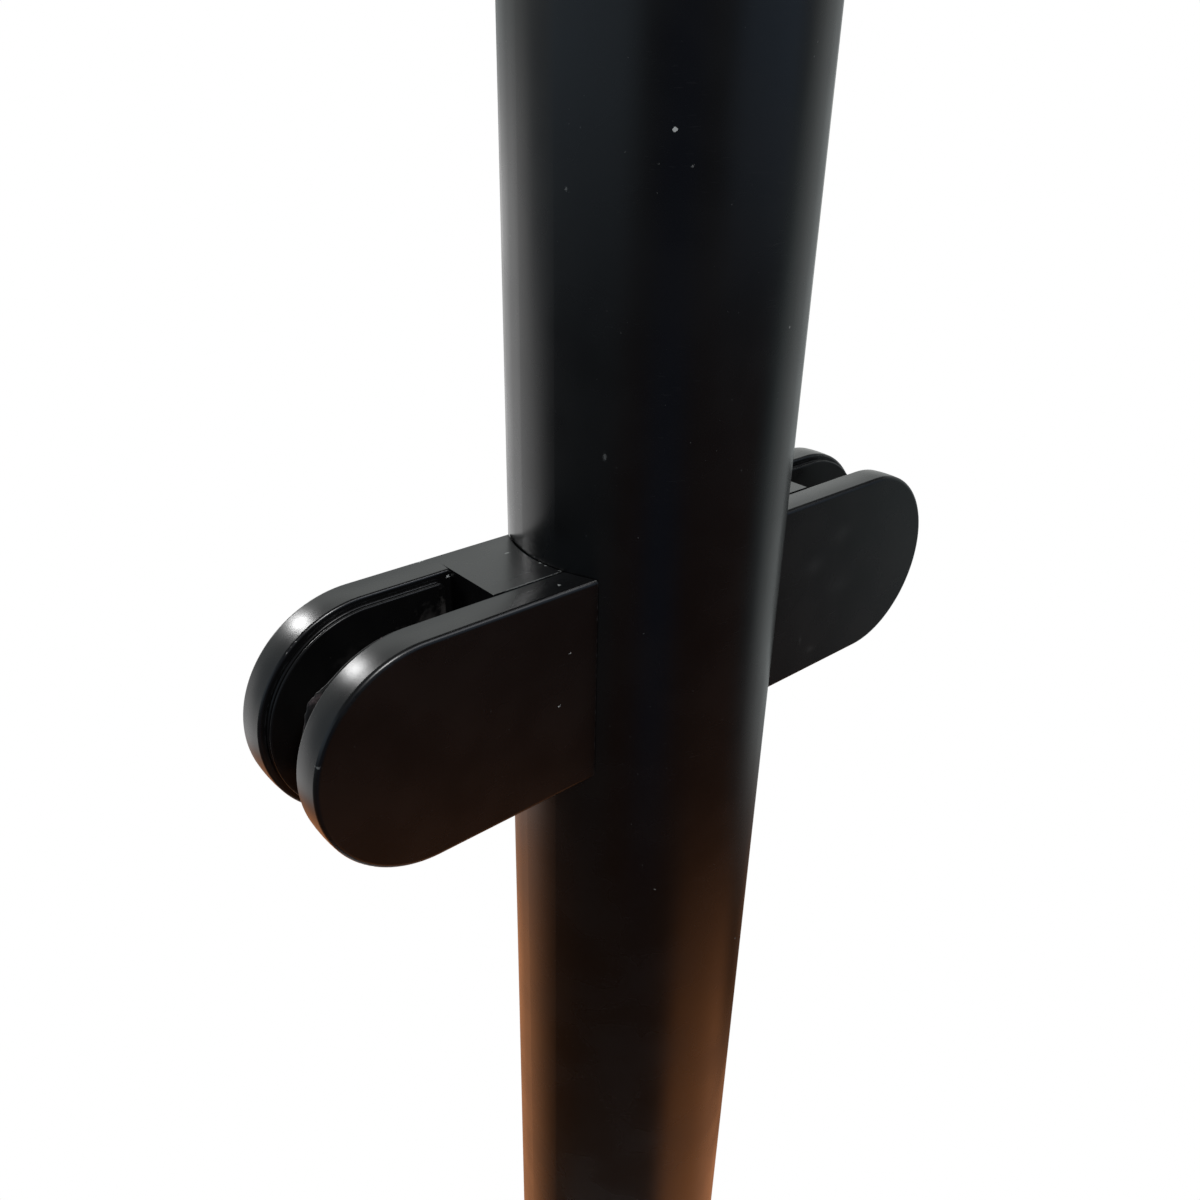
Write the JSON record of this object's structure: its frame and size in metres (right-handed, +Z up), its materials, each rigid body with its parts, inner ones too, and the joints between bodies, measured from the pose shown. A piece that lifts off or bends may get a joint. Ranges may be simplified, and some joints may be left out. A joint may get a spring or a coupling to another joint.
{
  "type": "glass railing post",
  "caption": "Round black railing post on a floor flange, with D-shaped clamps that grip glass panels on both sides.",
  "frame": {"origin": "centre of the post's base, on the floor", "axes": "+Z up the post, +X along the railing run towards the right-hand glass panel, -Y towards the side of the clamps' loose covers"},
  "size_m": [0.1498, 0.1154, 1],
  "materials": {
    "black_powder_coat": "satin",
    "gasket_rubber": "matte",
    "black_steel_screw": "satin",
    "zinc_steel": "zinc plated"
  },
  "bodies": {
    "root": {"base_flange": "black_powder_coat", "base_grub_screws": "black_steel_screw", "base_rosette": "black_powder_coat", "body_gasket_lower_left": "gasket_rubber", "body_gasket_lower_right": "gasket_rubber", "body_gasket_upper_left": "gasket_rubber", "body_gasket_upper_right": "gasket_rubber", "clamp_body_lower_left": "black_powder_coat", "clamp_body_lower_right": "black_powder_coat", "clamp_body_upper_left": "black_powder_coat", "clamp_body_upper_right": "black_powder_coat", "clamp_cover_lower_left": "black_powder_coat", "clamp_cover_lower_right": "black_powder_coat", "clamp_cover_upper_left": "black_powder_coat", "clamp_cover_upper_right": "black_powder_coat", "cover_gasket_lower_left": "gasket_rubber", "cover_gasket_lower_right": "gasket_rubber", "cover_gasket_upper_left": "gasket_rubber", "cover_gasket_upper_right": "gasket_rubber", "cover_screws_lower_left": "black_steel_screw", "cover_screws_lower_right": "black_steel_screw", "cover_screws_upper_left": "black_steel_screw", "cover_screws_upper_right": "black_steel_screw", "post_bolt_lower_left": "black_steel_screw", "post_bolt_lower_right": "black_steel_screw", "post_bolt_upper_left": "black_steel_screw", "post_bolt_upper_right": "black_steel_screw", "post_tube": "black_powder_coat", "rivet_nut_lower_left": "zinc_steel", "rivet_nut_lower_right": "zinc_steel", "rivet_nut_upper_left": "zinc_steel", "rivet_nut_upper_right": "zinc_steel", "top_cap": "black_powder_coat"}
  },
  "joints": []
}
